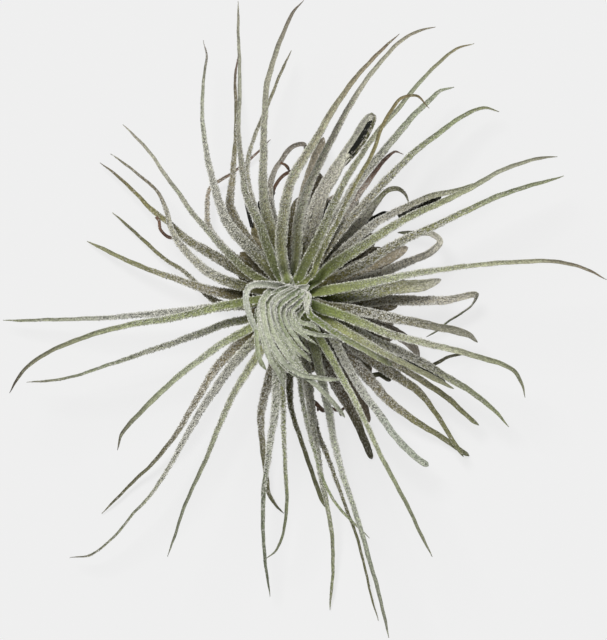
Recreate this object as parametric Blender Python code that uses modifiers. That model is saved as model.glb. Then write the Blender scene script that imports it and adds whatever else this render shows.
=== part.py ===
"""Air plant: a stemless-looking rosette of narrow channelled leaves on one short stem.

Lengths are in millimetres here and are turned to metres as each mesh is made.  The origin is the middle
of the stem's cut base, on the surface that the plant rests on, and +Z is up.  A leaf's run is a list of
plan points, each an azimuth in degrees from +X and a radius from the stem's axis.  The leaves are listed
from the oldest, lowest one to the youngest, and each is laid over those before it.
"""

import math

import bmesh
import bpy
import numpy as np
from mathutils import Vector

METRE = 0.001

STEM_RADIUS = 5.0
STEM_HEIGHT = 21.0
STEM_SIDES = 32
STEM_EDGE = 0.8

SEAT_GAP = 0.3
CLEARANCE = 0.3
FOOT_RUN = 1.2
FOOT_NARROWING = 0.42
FOOT_LENGTH = 13.0
FOOT_RISE = 0.2
LEVELLING = 0.6

ROWS = 16
COLUMNS = 2
STATIONS = 240
FINER = 4
RIBS = 13

CELL = 0.4
FIELD = 110.0
LIFT_REACH = 13.0
FOOT_REACH = 3.0
REACH_GROWTH = 0.35
LIFT_PASSES = 6
STEEPEST = 0.3

TUFT_SEGMENTS = 20
TUFT_RINGS = 14
TUFT_FLUTES = 5
TUFT_FLUTE_DEPTH = 0.07
TUFT_END_TAPER = 3.0
TUFT_STEP = 0.5

# Finish of each age of leaf: colour, roughness, blade thickness and channel depth over half width
AGES = {
    "outer": {"colour": (0.27, 0.235, 0.19), "roughness": 0.9, "thickness": 0.6, "channel": 0.28},
    "middle": {"colour": (0.33, 0.33, 0.26), "roughness": 0.88, "thickness": 0.65, "channel": 0.34},
    "inner": {"colour": (0.33, 0.40, 0.18), "roughness": 0.85, "thickness": 0.7, "channel": 0.42},
    "heart": {"colour": (0.52, 0.55, 0.44), "roughness": 0.85, "thickness": 0.7, "channel": 0.35},
    "stem": {"colour": (0.16, 0.11, 0.07), "roughness": 0.95},
}

# Each leaf: widths from foot to tip, heights from foot to tip, then its run in plan.
# A run point may carry a height of its own, where a blade folds back under itself.
OUTER_LEAVES = (
    ((3.4, 3.0, 1.8, 1.0, 0.6), (2, 5, 4, 2, -2),
     ((145, 8), (145, 20), (140, 27), (133, 31), (127, 34.2), (122.2, 34.3), (107, 36), (97.5, 40))),
    ((2.6, 2.0, 1.4, 1.1, 0.6), (2, 5, 4, 2, -2),
     ((195, 9), (188, 16), (184, 19), (177, 22), (168, 27), (163, 34), (158, 42), (155, 50))),
    ((4.0, 4.4, 4.2, 3.2), (2, 6, 6, 4),
     ((310, 9), (306, 20), (304, 28), (302, 37.5))),
    ((4.4, 4.8, 4.6, 3.6), (2, 7, 8, 6),
     ((22, 9), (22.5, 20), (22.6, 32))),
    ((3.2, 2.5, 1.6, 1.3, 1.1), (2, 6, 5, 2, -2),
     ((264, 9), (269, 19), (269.2, 26), (272, 32.5), (274.7, 38), (277, 46), (279, 54))),
    ((3.4, 2.6, 1.7, 1.0, 0.5), (2, 8, 7, 3, -3),
     ((223, 9), (223, 17), (223, 24), (225.6, 30), (228.7, 39), (230.3, 47), (230.4, 54.5),
      (229.4, 63), (229, 73))),
    ((3.4, 3.6, 3.4, 3.0), (2, 7, 7, 4),
     ((84, 9), (83.5, 20), (81.5, 29), (79.5, 36), (78.4, 41))),
    ((4.4, 5.0, 4.4, 2.5, 1.4), (3, 7, 6, 3, -1),
     ((299, 9), (300.5, 18), (298, 27), (297.8, 34.4), (297, 40.3), (296.5, 46))),
    ((3.8, 3.0, 1.9, 1.4, 0.8), (3, 8, 8, 5, 1),
     ((180, 9), (179, 13), (177, 18), (173.4, 24.5), (171.3, 30), (169, 38), (166.3, 47), (165, 53.5))),
    ((2.4, 2.4, 2.2, 1.4, 0.6), (3, 8, 9, 5, -2),
     ((56, 9), (56, 22), (56.3, 35), (55.6, 41), (55, 43.6), (53.7, 45.5), (51.7, 45.8))),
    ((3.4, 2.8, 2.0, 1.3, 0.7), (3, 8, 7, 3, -2),
     ((252, 9), (255.5, 18), (255, 26), (256.2, 32), (259, 38), (262.5, 47), (264.1, 51), (268, 55))),
    ((3.8, 3.4, 1.8, 1.1, 0.5), (3, 9, 8, 5, 2),
     ((129, 9), (128, 18), (124, 27.5), (116, 33.5), (109, 43), (106.5, 49), (104.6, 56), (102.2, 63))),
    ((3.6, 3.6, 3.2, 1.8, 1.0), (3, 9, 9, 5, 0),
     ((351, 9), (354, 16), (357.5, 23), (358, 34), (359, 41), (0.5, 45.5), (359.5, 47.7, 6),
      (357, 46, 5), (354, 43.5, 4), (351.5, 41, 3), (347, 38.5, 1.5), (343, 36, -1))),
    ((4.2, 4.6, 3.6, 2.2, 1.4), (4, 8, 7, 4, -1),
     ((316, 9), (314, 21), (313.5, 28), (313, 36), (314.5, 43), (316.5, 50), (317.5, 56), (318, 60.5))),
    ((3.8, 3.4, 2.2, 1.2, 0.5), (4, 9, 8, 5, 2),
     ((153, 9), (152.5, 20), (152, 26), (151, 31), (149, 36), (148, 42), (146.3, 48), (145.3, 53), (145, 59))),
    ((4.4, 4.4, 4.2, 3.0, 2.6, 1.4), (4, 12, 14, 14, 12, 10),
     ((72, 9), (72, 14), (73.5, 20), (74, 25), (71, 32), (68.8, 38.5), (67.2, 44.5, 14), (66.4, 48.5, 13.6),
      (65.9, 50.3, 11.8), (66.1, 49.3, 10), (66.9, 45.5, 9), (68.5, 38, 8.5), (69, 35, 8.2))),
    ((3.0, 3.2, 3.0, 2.3, 1.1), (3, 8, 9, 7, 3),
     ((10, 9), (13, 20), (15.5, 27), (16.5, 32), (18, 37.5), (20.5, 40), (23.5, 39), (27, 35), (31, 31.5))),
    ((2.4, 2.4, 1.5, 1.0, 0.5), (4, 10, 9, 4, -2),
     ((280, 9), (280, 25), (281, 34), (283.2, 44), (284.5, 54), (285.2, 62), (285.2, 70), (285, 79), (285, 85))),
    ((4.2, 4.2, 3.8, 1.6, 0.9), (4, 9, 10, 9, 7),
     ((45, 9), (46, 20), (47.5, 30), (48, 34.7), (47, 37.2), (44.6, 38.4), (41.5, 38.5), (38.3, 37.9))),
    ((3.4, 3.4, 3.2, 2.2), (4, 10, 8, 3),
     ((339, 9), (341, 20), (340, 29), (337, 34), (333.5, 36))),
    ((4.4, 4.8, 3.8, 1.8, 1.2), (5, 10, 10, 7, 5),
     ((324, 9), (322, 20), (322.4, 29.6), (323, 35.3), (323.2, 39.2), (322.6, 42.4), (320.8, 47.8),
      (318.7, 53.2), (317, 59.4))),
    ((3.0, 2.8, 1.8, 1.2, 0.6), (5, 10, 8, 4, -2),
     ((284, 9), (281, 23), (279.4, 35), (279.5, 47), (279.8, 56), (279.5, 63), (279, 68), (277, 80))),
    ((3.4, 3.2, 2.6, 2.1, 1.2), (6, 11, 11, 9, 6),
     ((328, 9), (327, 20), (327, 28.7), (327.2, 37.7), (327, 46), (326, 52.6), (325.5, 57.5))),
)

MIDDLE_LEAVES = (
    ((3.4, 3.1, 2.0, 0.9, 0.5), (6, 12, 12, 9, 7),
     ((169, 9), (166.5, 17), (162.6, 23), (158.4, 27), (151.7, 34), (145.6, 38), (141.9, 42.8),
      (141.5, 50), (141.7, 58))),
    ((3.0, 2.8, 2.0, 1.4, 1.0), (6, 11, 11, 9, 6),
     ((101, 9), (103, 22), (101.5, 27), (98, 31.5), (93.3, 34.8), (90.3, 37.1), (87, 38.4), (84.8, 38.3),
      (84.5, 36))),
    ((3.4, 3.1, 2.2, 1.6, 0.7), (6, 12, 12, 10, 7),
     ((38, 9), (41, 18), (41, 28), (39, 33), (37, 39), (35.3, 44), (32.2, 50.5), (30.4, 58))),
    ((3.6, 3.0, 1.8, 1.1, 0.5), (6, 13, 13, 10, 5),
     ((256, 9), (260.5, 22), (262, 28), (262, 35), (261.9, 42), (262, 50), (263, 57.5), (264, 65), (266, 76))),
    ((3.2, 2.9, 1.7, 1.1, 0.5), (6, 12, 12, 9, 4),
     ((190, 9), (188.6, 17), (188, 27), (187.2, 37), (186.2, 53), (184.8, 73))),
    ((3.8, 4.0, 3.6, 2.6), (6, 12, 13, 11),
     ((358, 9), (0, 14), (2, 19), (4.5, 26), (5, 34), (6.5, 38))),
    ((3.2, 3.2, 2.8, 2.3, 1.7), (7, 15, 17, 15, 11),
     ((320, 9), (315, 15), (309, 22), (307, 29), (306.8, 37), (306.6, 45), (307.8, 51), (309, 55))),
    ((1.8, 1.7, 1.2, 0.8, 0.5), (7, 12, 12, 9, 6),
     ((116, 9), (113, 20), (109, 34), (104, 40), (98.1, 47), (95.5, 51), (93, 55.5), (90, 62))),
    ((3.2, 3.1, 2.4, 1.6, 0.6), (7, 14, 16, 12, 6),
     ((53, 9), (53, 20), (51.5, 30), (50.3, 40), (49.1, 50), (47.4, 57), (46.3, 63), (44.2, 68.2), (43, 70),
      (41.6, 70.3))),
    ((3.0, 2.9, 2.0, 1.1, 0.6), (7, 14, 16, 14, 9),
     ((211, 9), (203, 18), (202, 26), (201.5, 34), (201, 42), (200.5, 50.5), (200, 61), (198, 70))),
    ((3.4, 3.1, 2.1, 1.5, 0.6), (7, 16, 19, 17, 12),
     ((22, 9), (24, 20), (26.5, 28), (26.2, 34.5), (26, 43), (26, 51), (25.5, 60), (23.8, 75))),
    ((3.8, 3.9, 3.4, 2.6, 1.9), (8, 14, 14, 12, 8),
     ((344, 9), (347, 14), (348, 29), (348, 37), (348, 44), (347.2, 47.3), (346.2, 48.5))),
    ((3.8, 3.4, 2.5, 1.8, 0.7), (8, 15, 17, 14, 10),
     ((62, 9), (60, 25), (59.6, 33), (57.9, 41), (56.3, 51.5), (55, 59), (53.5, 65), (52.1, 66.8))),
    ((3.8, 3.4, 1.9, 1.0, 0.4), (8, 16, 18, 16, 11),
     ((129, 9), (130, 13), (131, 19), (131.2, 24), (128.3, 28.5), (121.3, 40), (116.5, 50), (111.8, 59),
      (109.5, 63.5), (109, 68))),
    ((2.4, 2.1, 1.4, 1.0, 0.4), (8, 16, 18, 16, 12),
     ((267, 9), (264, 19), (265.5, 26.5), (268, 42), (268.7, 50), (268, 60), (267, 63.5), (264, 67))),
    ((3.8, 3.2, 1.8, 0.9, 0.5), (8, 15, 15, 12, 5),
     ((237, 9), (231, 14), (229.5, 20), (230.3, 28), (231.8, 37), (233.6, 46), (234.4, 53), (234.8, 60.5),
      (234, 68.5), (233.5, 76), (232, 83), (229.8, 86.5))),
    ((3.4, 3.3, 2.6, 1.7, 0.6), (9, 16, 16, 13, 9),
     ((333, 9), (331.5, 23), (333, 30), (333, 37), (332.6, 44), (332, 52), (330.5, 59), (329, 64))),
    ((1.8, 1.7, 1.3, 0.9, 0.4), (9, 17, 18, 15, 11),
     ((277, 9), (276.3, 25), (277, 32), (278.3, 38), (280.1, 47), (282, 53), (285, 58.5), (288, 64))),
)

INNER_LEAVES = (
    ((3.0, 2.8, 1.9, 1.2, 0.5), (10, 22, 29, 31, 27),
     ((152, 8), (150, 13), (145, 20), (141.8, 27), (139.6, 33), (137.6, 37.5), (135.7, 45), (134.5, 51),
      (134.4, 60))),
    ((2.6, 2.5, 1.8, 1.2, 0.5), (10, 22, 29, 30, 24),
     ((186, 8), (189, 20), (190.5, 31.5), (190.2, 43), (191, 51), (192.5, 59), (194.5, 67), (195.9, 70),
      (199, 74.5))),
    ((2.7, 2.6, 1.9, 1.4, 0.5), (10, 24, 31, 32, 27),
     ((220, 8), (218, 13), (215, 20), (215, 29), (215.5, 35), (217, 42.5), (218.3, 51), (218.9, 54),
      (221.6, 58))),
    ((2.6, 2.5, 1.7, 1.0, 0.4), (10, 22, 29, 30, 26),
     ((244, 8), (241, 16), (239.5, 23), (240.2, 32), (241.5, 40), (242.7, 48), (243, 57), (244.7, 72))),
    ((3.1, 2.5, 1.8, 1.2, 0.5), (10, 20, 26, 27, 23),
     ((298, 8), (297, 11), (291, 20), (288.8, 28), (286.4, 38), (286.3, 49), (286.6, 60), (286.5, 75),
      (286, 89))),
    ((3.0, 2.7, 1.7, 1.2, 0.4), (10, 21, 28, 29, 25),
     ((105, 8), (106, 13), (106.5, 22), (105, 27), (102, 33), (98.5, 45), (96.8, 52), (93.8, 60),
      (91.4, 66.5), (89.8, 70.5), (87.5, 74))),
    ((3.4, 3.1, 1.9, 1.4, 0.5), (10, 24, 31, 32, 26),
     ((9, 8), (9.5, 18.5), (10, 26), (10.2, 34), (9.6, 44.5), (8.7, 55), (7.7, 65), (5.9, 72), (3, 79))),
    ((3.0, 2.8, 1.6, 1.0), (11, 20, 22, 18),
     ((325, 8), (327, 16), (328, 23), (329, 32), (330, 38.3), (330.3, 44.5), (330.4, 47))),
    ((3.2, 3.1, 2.3, 1.4, 0.5), (11, 27, 35, 38, 32),
     ((82, 8), (83, 13), (84, 19), (81.5, 26), (77, 35.4), (73.7, 46.3), (70, 59), (66.2, 70), (64.2, 73.3),
      (61.7, 76))),
    ((2.4, 2.3, 1.6, 1.1, 0.5), (12, 24, 30, 32, 29),
     ((308, 8), (304, 13), (303, 19), (301.5, 29), (300.2, 38.8), (299.3, 48), (299, 60), (298.4, 74))),
    ((3.7, 3.2, 2.1, 1.3, 0.5), (12, 27, 33, 34, 29),
     ((34, 8), (36, 11), (35.5, 18), (34.5, 27), (34, 34), (32.2, 43), (31, 51), (30.7, 62), (29.3, 69.6),
      (27.6, 75))),
    ((3.8, 3.7, 2.8, 1.9, 0.6), (12, 22, 26, 26, 20),
     ((338, 8), (339.5, 16), (339, 24), (339.3, 29), (341, 38), (342, 46), (342, 52), (341.4, 58.9),
      (339.3, 61.7), (336.6, 64))),
    ((3.0, 2.5, 1.5, 0.9, 0.4), (12, 26, 33, 34, 30),
     ((119, 8), (116, 13), (113.5, 20), (113.5, 29), (111, 34), (109, 39.5), (103.7, 54), (100.2, 74.7))),
    ((3.5, 3.2, 2.1, 1.4, 0.5), (13, 29, 38, 41, 36),
     ((66, 8), (65, 11), (64.5, 17), (65, 30), (63.3, 40), (61.9, 47.7), (60.2, 53), (59.2, 60), (58.4, 64.5),
      (57.4, 69.7), (56.1, 74), (54, 77.5))),
    ((3.4, 3.4, 2.6, 1.4, 0.4), (13, 29, 38, 40, 35),
     ((104, 8), (101, 13), (96, 19), (93, 24), (89.5, 29), (82.5, 37), (76.5, 49), (72, 60), (67.5, 70.5))),
    ((2.1, 2.1, 1.6, 1.1, 0.5), (15, 33, 43, 46, 42),
     ((46, 8), (53, 11), (57, 16), (58, 22), (60.2, 31), (60.2, 40.5), (61.7, 50), (60.8, 56), (58.8, 58.5),
      (56, 58.2), (53.6, 57.7))),
)

HEART_LEAVES = (
    ((2.2, 2.4, 2.2, 2.0, 1.2), (19, 32, 40, 43, 43),
     ((112, 7), (125, 8), (150, 9.5), (172, 10.8), (194, 10.8), (211, 12), (224, 14.5), (234, 17.5))),
)

# The heart's bunch of youngest leaves: places along its middle line, with its half width and half depth
TUFT_LINE = ((0, 0, 21.3), (0.2, 0, 26), (-0.5, -1.5, 34), (-2, -5, 42), (-3.6, -10, 48), (-3, -15, 51),
             (-0.5, -19.5, 51), (3, -23, 49))
TUFT_HALF_WIDTH = (2.6, 3.8, 4.9, 5.8, 5.8, 6.0, 5.4, 2.0)
TUFT_HALF_DEPTH = (2.6, 3.6, 4.2, 4.6, 4.2, 3.2, 2.2, 0.8)


def clear_scene():
    for item in list(bpy.data.objects):
        bpy.data.objects.remove(item, do_unlink=True)


def make_material(age):
    finish = AGES[age]
    material = bpy.data.materials.new(age + "_leaf" if age != "stem" else "stem_bark")
    material.use_nodes = True
    shader = material.node_tree.nodes["Principled BSDF"]
    shader.inputs["Base Color"].default_value = (*finish["colour"], 1.0)
    shader.inputs["Roughness"].default_value = finish["roughness"]
    shader.inputs["Metallic"].default_value = 0.0
    return material


def polar(azimuth, radius):
    angle = math.radians(azimuth)
    return radius * math.cos(angle), radius * math.sin(angle)


def unit(vectors):
    return vectors / np.maximum(np.linalg.norm(vectors, axis=-1, keepdims=True), 1e-9)


def spline(knots, points, where):
    """Smooth curve through points, one for each knot, read at the places given."""
    points = np.asarray(points, float)
    slopes = np.gradient(points, knots, axis=0)
    place = np.clip(np.searchsorted(knots, where, side="right") - 1, 0, len(knots) - 2)
    span = (knots[place + 1] - knots[place])[:, None]
    part = ((where - knots[place]) / span[:, 0])[:, None]
    start, end = points[place], points[place + 1]
    return ((2 * part**3 - 3 * part**2 + 1) * start + (part**3 - 2 * part**2 + part) * span * slopes[place]
            + (3 * part**2 - 2 * part**3) * end + (part**3 - part**2) * span * slopes[place + 1])


def distances(points):
    steps = np.linalg.norm(np.diff(points, axis=0), axis=1)
    return np.concatenate(([0.0], np.cumsum(steps)))


def leaf_line(heights, run):
    """Middle line of a leaf, from its seat on the stem to its tip, as evenly spaced stations."""
    first = run[0][0]
    seat = STEM_RADIUS + SEAT_GAP
    plan = [polar(first, seat), polar(first, seat + FOOT_RUN)] + [polar(*point[:2]) for point in run]
    along = distances(np.array(plan))
    rise = spline(np.linspace(0, 1, len(heights)), np.array(heights, float)[:, None], along / along[-1])[:, 0]
    rise[1] = rise[0] + FOOT_RISE
    for index, point in enumerate(run):
        if len(point) == 3:
            rise[index + 2] = point[2]
    points = np.column_stack((plan, rise))
    knots = distances(points)
    fine = spline(knots, points, np.linspace(0, knots[-1], STATIONS * FINER))
    length = distances(fine)
    even = np.linspace(0, length[-1], STATIONS)
    return np.column_stack([np.interp(even, length, fine[:, axis]) for axis in range(3)])


def leaf_frames(line):
    """Sideways and upward directions along a leaf, the sides kept level where the leaf is not upright."""
    forward = unit(np.gradient(line, axis=0))
    side = np.empty_like(line)
    level = np.column_stack((-forward[:, 1], forward[:, 0], np.zeros(len(line))))
    side[0] = unit(level[0])
    for index in range(1, len(line)):
        carried = side[index - 1] - forward[index] * np.dot(side[index - 1], forward[index])
        flat = level[index] * math.copysign(1.0, np.dot(level[index], carried))
        side[index] = unit(unit(carried) + LEVELLING * flat)
        side[index] = unit(side[index] - forward[index] * np.dot(side[index], forward[index]))
    return side, np.cross(forward, side)


def leaf_surface(line, widths, channel, across):
    """Points across the channelled blade at each station, with the blade's upward direction."""
    side, up = leaf_frames(line)
    narrowed = 1 - FOOT_NARROWING * np.clip(1 - distances(line) / FOOT_LENGTH, 0, 1) ** 2
    half = 0.5 * narrowed * np.interp(np.linspace(0, 1, len(line)), np.linspace(0, 1, len(widths)), widths)
    sideways = side[:, None, :] * (half[:, None] * across)[:, :, None]
    raised = up[:, None, :] * (half[:, None] * channel * np.abs(across))[:, :, None]
    return line[:, None, :] + sideways + raised, up


class Ground:
    """Highest point of what has been laid so far, on a square grid seen from above."""

    def __init__(self):
        count = int(2 * FIELD / CELL)
        self.top = np.full((count, count), -CLEARANCE)

    def cells(self, points):
        return tuple(((points[..., axis] + FIELD) / CELL).astype(int) for axis in (0, 1))

    def under(self, points):
        column, row = self.cells(points)
        shifts = ((0, 0), (-1, 0), (1, 0), (0, -1), (0, 1))
        return np.max([self.top[column + x, row + y] for x, y in shifts], axis=0)

    def lay(self, points, upper):
        np.maximum.at(self.top, self.cells(points), upper)


def half_rise(up, thickness):
    """Half of the blade's thickness as it stands upright through a tilted blade."""
    return 0.5 * thickness / np.maximum(np.abs(up[:, 2]), STEEPEST)


def seat_foot(line, widths, finish):
    """Draw a leaf's foot outwards until its nearest corner keeps the seat gap to the stem."""
    points, up = leaf_surface(line, widths, finish["channel"], np.linspace(-1, 1, RIBS))
    offset = up[:, None, :] * finish["thickness"] / 2
    corners = np.concatenate((points + offset, points - offset))
    nearest = np.hypot(corners[..., 0], corners[..., 1]).min()
    outward = unit(line[0] * (1, 1, 0))
    fade = np.clip(1 - distances(line) / FOOT_LENGTH, 0, 1)[:, None]
    line += outward * fade * (STEM_RADIUS + SEAT_GAP - nearest)


def settle(ground, line, widths, age):
    """Raise a leaf smoothly until it clears the leaves below it and the surface."""
    finish = AGES[age]
    across = np.linspace(-1, 1, RIBS)
    along = distances(line)
    for _ in range(LIFT_PASSES):
        points, up = leaf_surface(line, widths, finish["channel"], across)
        lower = points[:, :, 2] - half_rise(up, finish["thickness"])[:, None]
        short = np.maximum(ground.under(points) + CLEARANCE - lower, 0).max(axis=1)
        length = np.minimum(FOOT_REACH + REACH_GROWTH * along, LIFT_REACH)
        reach = np.clip(np.abs(along[:, None] - along[None, :]) / length[None, :], 0, 1)
        line[:, 2] += (short[None, :] * np.cos(reach * math.pi / 2) ** 2).max(axis=1)
    seat_foot(line, widths, finish)
    points, up = leaf_surface(line, widths, finish["channel"], across)
    ground.lay(points, points[:, :, 2] + half_rise(up, finish["thickness"])[:, None])
    return line


def add_object(name, mesh, age, materials, collection):
    mesh.materials.append(materials[age])
    item = bpy.data.objects.new(name, mesh)
    collection.objects.link(item)
    return item


def make_leaf(name, line, widths, age, materials, collection):
    """A channelled strip along the leaf's line, given its thickness by Solidify."""
    finish = AGES[age]
    across = np.linspace(-1, 1, COLUMNS + 1)
    points, _ = leaf_surface(line, widths, finish["channel"], across)
    strip = bmesh.new()
    bmesh.ops.create_grid(strip, x_segments=COLUMNS, y_segments=ROWS, size=1.0)
    for corner in strip.verts:
        station = round((corner.co.y + 1) / 2 * (STATIONS - 1))
        column = round((corner.co.x + 1) / 2 * COLUMNS)
        corner.co = Vector(points[station, column] * METRE)
    mesh = bpy.data.meshes.new(name)
    strip.to_mesh(mesh)
    strip.free()
    item = add_object(name, mesh, age, materials, collection)
    blade = item.modifiers.new("blade", "SOLIDIFY")
    blade.thickness = finish["thickness"] * METRE
    blade.offset = 0.0
    return item


def make_stem(materials, collection):
    bpy.ops.mesh.primitive_cylinder_add(vertices=STEM_SIDES, radius=STEM_RADIUS * METRE,
                                        depth=STEM_HEIGHT * METRE, location=(0, 0, STEM_HEIGHT * METRE / 2))
    stem = bpy.context.object
    stem.name = "stem"
    stem.data.materials.append(materials["stem"])
    rounding = stem.modifiers.new("rounded_top", "BEVEL")
    rounding.width = STEM_EDGE * METRE
    rounding.segments = 2
    rounding.limit_method = "ANGLE"
    for owner in list(stem.users_collection):
        owner.objects.unlink(stem)
    collection.objects.link(stem)


def make_tuft(ground, materials, collection):
    """The bunch of young leaves as one soft fluted form, standing on the stem and leaning to -Y."""
    knots = distances(np.array(TUFT_LINE, float))
    ball = bmesh.new()
    bmesh.ops.create_uvsphere(ball, u_segments=TUFT_SEGMENTS, v_segments=TUFT_RINGS, radius=1.0)
    for corner in ball.verts:
        part = 1 - math.acos(max(-1.0, min(1.0, corner.co.z))) / math.pi
        place = np.array([part * knots[-1]])
        nearby = np.clip(place + np.array([-TUFT_STEP, TUFT_STEP]), 0, knots[-1])
        middle = spline(knots, TUFT_LINE, place)[0]
        forward = unit(np.diff(spline(knots, TUFT_LINE, nearby), axis=0))[0]
        width = np.interp(place, knots, TUFT_HALF_WIDTH)[0]
        depth = np.interp(place, knots, TUFT_HALF_DEPTH)[0]
        side = unit(np.array([1.0, 0.0, 0.0]) - forward * forward[0])
        back = np.cross(forward, side)
        turn = math.atan2(corner.co.y, corner.co.x)
        rim = min(1.0, math.hypot(corner.co.x, corner.co.y) * TUFT_END_TAPER)
        flute = rim * (1 + TUFT_FLUTE_DEPTH * math.cos(TUFT_FLUTES * 2 * turn))
        corner.co = Vector((middle + side * width * flute * math.cos(turn)
                            + back * depth * flute * math.sin(turn)) * METRE)
    if ball.calc_volume(signed=True) < 0:
        bmesh.ops.reverse_faces(ball, faces=ball.faces)
    mesh = bpy.data.meshes.new("heart_tuft")
    ball.to_mesh(mesh)
    ball.free()
    mesh.shade_smooth()
    add_object("heart_tuft", mesh, "heart", materials, collection)


def build():
    clear_scene()
    collection = bpy.data.collections.new("air_plant")
    bpy.context.scene.collection.children.link(collection)
    materials = {age: make_material(age) for age in AGES}
    make_stem(materials, collection)
    ground = Ground()
    layers = (("outer", OUTER_LEAVES), ("middle", MIDDLE_LEAVES), ("inner", INNER_LEAVES), ("heart", HEART_LEAVES))
    for age, leaves in layers:
        for number, (widths, heights, run) in enumerate(leaves, start=1):
            line = settle(ground, leaf_line(heights, run), widths, age)
            make_leaf(f"{age}_leaf_{number:02d}", line, widths, age, materials, collection)
    make_tuft(ground, materials, collection)


build()
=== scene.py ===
"""An air plant: one rosette of narrow, channelled leaves under silver scales, on a short stem.

Places and sizes are in millimetres until a mesh is made.  The origin is the middle of the stem's cut base and
+Z is up.  Each full-grown leaf follows its own CAD solid.
"""

import itertools
import math

import bmesh
import bpy
import numpy as np
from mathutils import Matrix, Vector


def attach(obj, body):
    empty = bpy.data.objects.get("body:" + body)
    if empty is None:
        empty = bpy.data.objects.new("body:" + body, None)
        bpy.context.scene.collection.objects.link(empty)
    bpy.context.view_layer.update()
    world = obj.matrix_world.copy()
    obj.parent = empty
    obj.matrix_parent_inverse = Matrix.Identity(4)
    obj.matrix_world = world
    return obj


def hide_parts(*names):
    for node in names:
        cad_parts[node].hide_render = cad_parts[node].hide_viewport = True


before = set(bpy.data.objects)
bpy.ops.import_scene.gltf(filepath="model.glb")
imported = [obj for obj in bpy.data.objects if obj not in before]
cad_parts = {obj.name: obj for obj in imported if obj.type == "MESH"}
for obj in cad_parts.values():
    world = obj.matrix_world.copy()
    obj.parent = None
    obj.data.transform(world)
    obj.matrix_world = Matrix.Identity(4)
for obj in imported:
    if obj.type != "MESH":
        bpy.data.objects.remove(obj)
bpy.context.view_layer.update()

# ---------------------------------------------------------------------------------------------------------
# Leaf tissue and its scales.  A leaf is soft green tissue, or dry brown tissue once it is old, and is matt
# all over because a felt of pale, shield-shaped scales covers it.  The felt catches light at grazing angles.

MM = 0.001


def linear(code):
    """An sRGB hex colour as linear red, green and blue."""
    parts = np.array([int(code[place:place + 2], 16) / 255 for place in (1, 3, 5)])
    return np.where(parts <= 0.04045, parts / 12.92, ((parts + 0.055) / 1.055) ** 2.4)


def add(tree, kind, values=(), links=(), **settings):
    """Add a node with its settings, its unlinked values and its links, the last two by socket name."""
    made = tree.nodes.new(kind)
    for key, value in settings.items():
        setattr(made, key, value)
    for socket, value in dict(values).items():
        made.inputs[socket].default_value = value
    for socket, source in dict(links).items():
        tree.links.new(source, made.inputs[socket])
    return made


# Size of one grain of the felt and of one blotch, and how close the veins lie across and along the leaf
GRAIN_ACROSS = 0.30
GRAIN_ALONG = 0.48
BLOTCH = 3.5
VEINS_PER_MM = (2.6, 0.10, 1.0)


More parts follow.
